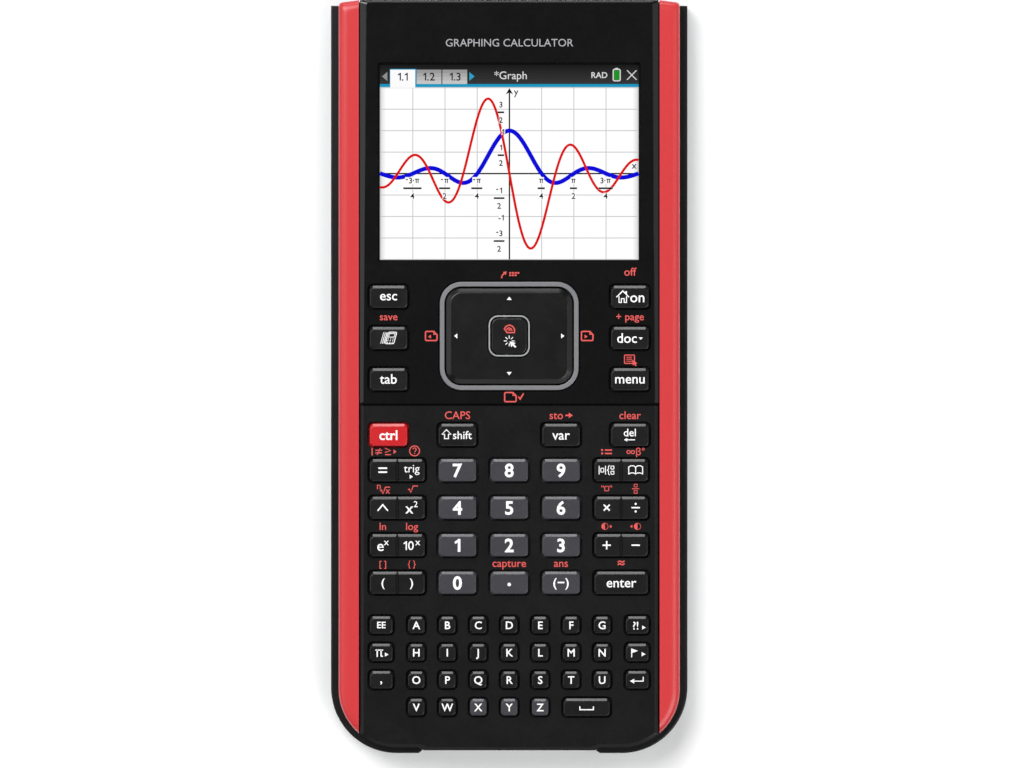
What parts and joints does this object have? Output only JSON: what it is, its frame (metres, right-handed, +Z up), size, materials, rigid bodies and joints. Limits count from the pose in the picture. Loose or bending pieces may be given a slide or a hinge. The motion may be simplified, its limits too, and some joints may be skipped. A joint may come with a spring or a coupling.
{
  "type": "graphing calculator",
  "caption": "Hand-held graphing calculator with a colour display, touchpad, number and letter keys, red side rails and a slide-on cover stored on its back.",
  "frame": {"origin": "middle of the outline at the outside of the cover that the calculator lies on", "axes": "+X across to the right, +Y along the calculator to its display end, +Z up out of the face"},
  "size_m": [0.09, 0.19, 0.0182],
  "materials": {
    "gloss_black": "polished",
    "case_black": "satin",
    "cover_black": "fine grain",
    "rail_red": "satin",
    "key_red": "satin",
    "key_grey": "satin",
    "key_black": "satin",
    "ring_grey": "metallised",
    "lens_clear": "polished",
    "display_light": "lit display",
    "board_green": "solder mask",
    "silicone_grey": "matt",
    "battery_wrap": "film",
    "steel": "zinc plated",
    "led_green": "translucent"
  },
  "bodies": {
    "case": {"front_case": "case_black", "back_case": "case_black", "battery_cover": "case_black", "upper_faceplate": "gloss_black", "side_rail_left": "rail_red", "side_rail_right": "rail_red", "display_lens": "lens_clear", "lcd_module": "display_light", "touchpad_ring": "ring_grey", "usb_port": "steel", "status_led": "led_green", "dock_connector": "case_black", "main_board": "board_green", "keypad_membrane": "silicone_grey", "battery_pack": "battery_wrap", "case_screw_1": "steel", "case_screw_2": "steel", "case_screw_3": "steel", "case_screw_4": "steel", "battery_cover_screw": "steel"},
    "cover": {"slide_cover": "cover_black"},
    "pad_carrier": {"touchpad_carrier": "board_green"},
    "pad": {"touchpad_plate": "case_black"},
    "click": {"click_button": "case_black", "click_ring": "ring_grey"},
    "reset": {"reset_button": "key_grey"},
    "key_esc": {"key_esc": "key_black"},
    "key_on": {"key_on": "key_black"},
    "key_scratchpad": {"key_scratchpad": "key_black"},
    "key_doc": {"key_doc": "key_black"},
    "key_tab": {"key_tab": "key_black"},
    "key_menu": {"key_menu": "key_black"},
    "key_ctrl": {"key_ctrl": "key_red"},
    "key_shift": {"key_shift": "key_black"},
    "key_var": {"key_var": "key_black"},
    "key_del": {"key_del": "key_black"},
    "key_7": {"key_7": "key_grey"},
    "key_8": {"key_8": "key_grey"},
    "key_9": {"key_9": "key_grey"},
    "key_4": {"key_4": "key_grey"},
    "key_5": {"key_5": "key_grey"},
    "key_6": {"key_6": "key_grey"},
    "key_1": {"key_1": "key_grey"},
    "key_2": {"key_2": "key_grey"},
    "key_3": {"key_3": "key_grey"},
    "key_0": {"key_0": "key_grey"},
    "key_point": {"key_point": "key_grey"},
    "key_sign": {"key_sign": "key_grey"},
    "key_enter": {"key_enter": "key_black"},
    "double_equals_trig": {"double_key_equals_trig": "key_black"},
    "double_power_square": {"double_key_power_square": "key_black"},
    "double_exp_tenpower": {"double_key_exp_tenpower": "key_black"},
    "double_brackets": {"double_key_brackets": "key_black"},
    "double_template_catalog": {"double_key_template_catalog": "key_black"},
    "double_times_divide": {"double_key_times_divide": "key_black"},
    "double_plus_minus": {"double_key_plus_minus": "key_black"},
    "letters_1": {"letter_keys_row_1": "key_black"},
    "letters_2": {"letter_keys_row_2": "key_black"},
    "letters_3": {"letter_keys_row_3": "key_black"},
    "letters_4": {"letter_keys_row_4": "key_black"}
  },
  "joints": [
    {"name": "cover_slide", "type": "slide", "parent": "case", "child": "cover", "axis": [0, -1, 0], "range_m": [0, 0.195]},
    {"name": "pad_tip_sideways", "type": "hinge", "parent": "case", "child": "pad_carrier", "pos_m": [0, 0.0103, 0.015], "axis": [0, 1, 0], "range_deg": [-2.5, 2.5], "stiffness_Nm_per_rad": 0.35},
    {"name": "pad_tip_lengthways", "type": "hinge", "parent": "pad_carrier", "child": "pad", "pos_m": [0, 0.0103, 0.015], "axis": [1, 0, 0], "range_deg": [-3, 3], "stiffness_Nm_per_rad": 0.35},
    {"name": "click_press", "type": "slide", "parent": "pad", "child": "click", "axis": [0, 0, -1], "range_m": [0, 0.0005], "stiffness_N_per_m": 800},
    {"name": "reset_press", "type": "slide", "parent": "case", "child": "reset", "axis": [0, 0, 1], "range_m": [0, 0.0005], "stiffness_N_per_m": 800},
    {"name": "press_esc", "type": "slide", "parent": "case", "child": "key_esc", "axis": [0, 0, -1], "range_m": [0, 0.0009], "stiffness_N_per_m": 450},
    {"name": "press_on", "type": "slide", "parent": "case", "child": "key_on", "axis": [0, 0, -1], "range_m": [0, 0.0009], "stiffness_N_per_m": 450},
    {"name": "press_scratchpad", "type": "slide", "parent": "case", "child": "key_scratchpad", "axis": [0, 0, -1], "range_m": [0, 0.0009], "stiffness_N_per_m": 450},
    {"name": "press_doc", "type": "slide", "parent": "case", "child": "key_doc", "axis": [0, 0, -1], "range_m": [0, 0.0009], "stiffness_N_per_m": 450},
    {"name": "press_tab", "type": "slide", "parent": "case", "child": "key_tab", "axis": [0, 0, -1], "range_m": [0, 0.0009], "stiffness_N_per_m": 450},
    {"name": "press_menu", "type": "slide", "parent": "case", "child": "key_menu", "axis": [0, 0, -1], "range_m": [0, 0.0009], "stiffness_N_per_m": 450},
    {"name": "press_ctrl", "type": "slide", "parent": "case", "child": "key_ctrl", "axis": [0, 0, -1], "range_m": [0, 0.0009], "stiffness_N_per_m": 450},
    {"name": "press_shift", "type": "slide", "parent": "case", "child": "key_shift", "axis": [0, 0, -1], "range_m": [0, 0.0009], "stiffness_N_per_m": 450},
    {"name": "press_var", "type": "slide", "parent": "case", "child": "key_var", "axis": [0, 0, -1], "range_m": [0, 0.0009], "stiffness_N_per_m": 450},
    {"name": "press_del", "type": "slide", "parent": "case", "child": "key_del", "axis": [0, 0, -1], "range_m": [0, 0.0009], "stiffness_N_per_m": 450},
    {"name": "press_7", "type": "slide", "parent": "case", "child": "key_7", "axis": [0, 0, -1], "range_m": [0, 0.0009], "stiffness_N_per_m": 450},
    {"name": "press_8", "type": "slide", "parent": "case", "child": "key_8", "axis": [0, 0, -1], "range_m": [0, 0.0009], "stiffness_N_per_m": 450},
    {"name": "press_9", "type": "slide", "parent": "case", "child": "key_9", "axis": [0, 0, -1], "range_m": [0, 0.0009], "stiffness_N_per_m": 450},
    {"name": "press_4", "type": "slide", "parent": "case", "child": "key_4", "axis": [0, 0, -1], "range_m": [0, 0.0009], "stiffness_N_per_m": 450},
    {"name": "press_5", "type": "slide", "parent": "case", "child": "key_5", "axis": [0, 0, -1], "range_m": [0, 0.0009], "stiffness_N_per_m": 450},
    {"name": "press_6", "type": "slide", "parent": "case", "child": "key_6", "axis": [0, 0, -1], "range_m": [0, 0.0009], "stiffness_N_per_m": 450},
    {"name": "press_1", "type": "slide", "parent": "case", "child": "key_1", "axis": [0, 0, -1], "range_m": [0, 0.0009], "stiffness_N_per_m": 450},
    {"name": "press_2", "type": "slide", "parent": "case", "child": "key_2", "axis": [0, 0, -1], "range_m": [0, 0.0009], "stiffness_N_per_m": 450},
    {"name": "press_3", "type": "slide", "parent": "case", "child": "key_3", "axis": [0, 0, -1], "range_m": [0, 0.0009], "stiffness_N_per_m": 450},
    {"name": "press_0", "type": "slide", "parent": "case", "child": "key_0", "axis": [0, 0, -1], "range_m": [0, 0.0009], "stiffness_N_per_m": 450},
    {"name": "press_point", "type": "slide", "parent": "case", "child": "key_point", "axis": [0, 0, -1], "range_m": [0, 0.0009], "stiffness_N_per_m": 450},
    {"name": "press_sign", "type": "slide", "parent": "case", "child": "key_sign", "axis": [0, 0, -1], "range_m": [0, 0.0009], "stiffness_N_per_m": 450},
    {"name": "press_enter", "type": "slide", "parent": "case", "child": "key_enter", "axis": [0, 0, -1], "range_m": [0, 0.0009], "stiffness_N_per_m": 450},
    {"name": "rock_equals_trig", "type": "hinge", "parent": "case", "child": "double_equals_trig", "pos_m": [-0.0282, -0.0234, 0.0142], "axis": [0, 1, 0], "range_deg": [-5, 5], "stiffness_Nm_per_rad": 0.06},
    {"name": "rock_power_square", "type": "hinge", "parent": "case", "child": "double_power_square", "pos_m": [-0.0282, -0.03285, 0.0142], "axis": [0, 1, 0], "range_deg": [-5, 5], "stiffness_Nm_per_rad": 0.06},
    {"name": "rock_exp_tenpower", "type": "hinge", "parent": "case", "child": "double_exp_tenpower", "pos_m": [-0.0282, -0.0423, 0.0142], "axis": [0, 1, 0], "range_deg": [-5, 5], "stiffness_Nm_per_rad": 0.06},
    {"name": "rock_brackets", "type": "hinge", "parent": "case", "child": "double_brackets", "pos_m": [-0.0282, -0.05175, 0.0142], "axis": [0, 1, 0], "range_deg": [-5, 5], "stiffness_Nm_per_rad": 0.06},
    {"name": "rock_template_catalog", "type": "hinge", "parent": "case", "child": "double_template_catalog", "pos_m": [0.0282, -0.0234, 0.0142], "axis": [0, 1, 0], "range_deg": [-5, 5], "stiffness_Nm_per_rad": 0.06},
    {"name": "rock_times_divide", "type": "hinge", "parent": "case", "child": "double_times_divide", "pos_m": [0.0282, -0.03285, 0.0142], "axis": [0, 1, 0], "range_deg": [-5, 5], "stiffness_Nm_per_rad": 0.06},
    {"name": "rock_plus_minus", "type": "hinge", "parent": "case", "child": "double_plus_minus", "pos_m": [0.0282, -0.0423, 0.0142], "axis": [0, 1, 0], "range_deg": [-5, 5], "stiffness_Nm_per_rad": 0.06},
    {"name": "press_letters_1", "type": "slide", "parent": "case", "child": "letters_1", "axis": [0, 0, -1], "range_m": [0, 0.0008], "stiffness_N_per_m": 600},
    {"name": "press_letters_2", "type": "slide", "parent": "case", "child": "letters_2", "axis": [0, 0, -1], "range_m": [0, 0.0008], "stiffness_N_per_m": 600},
    {"name": "press_letters_3", "type": "slide", "parent": "case", "child": "letters_3", "axis": [0, 0, -1], "range_m": [0, 0.0008], "stiffness_N_per_m": 600},
    {"name": "press_letters_4", "type": "slide", "parent": "case", "child": "letters_4", "axis": [0, 0, -1], "range_m": [0, 0.0008], "stiffness_N_per_m": 600}
  ]
}
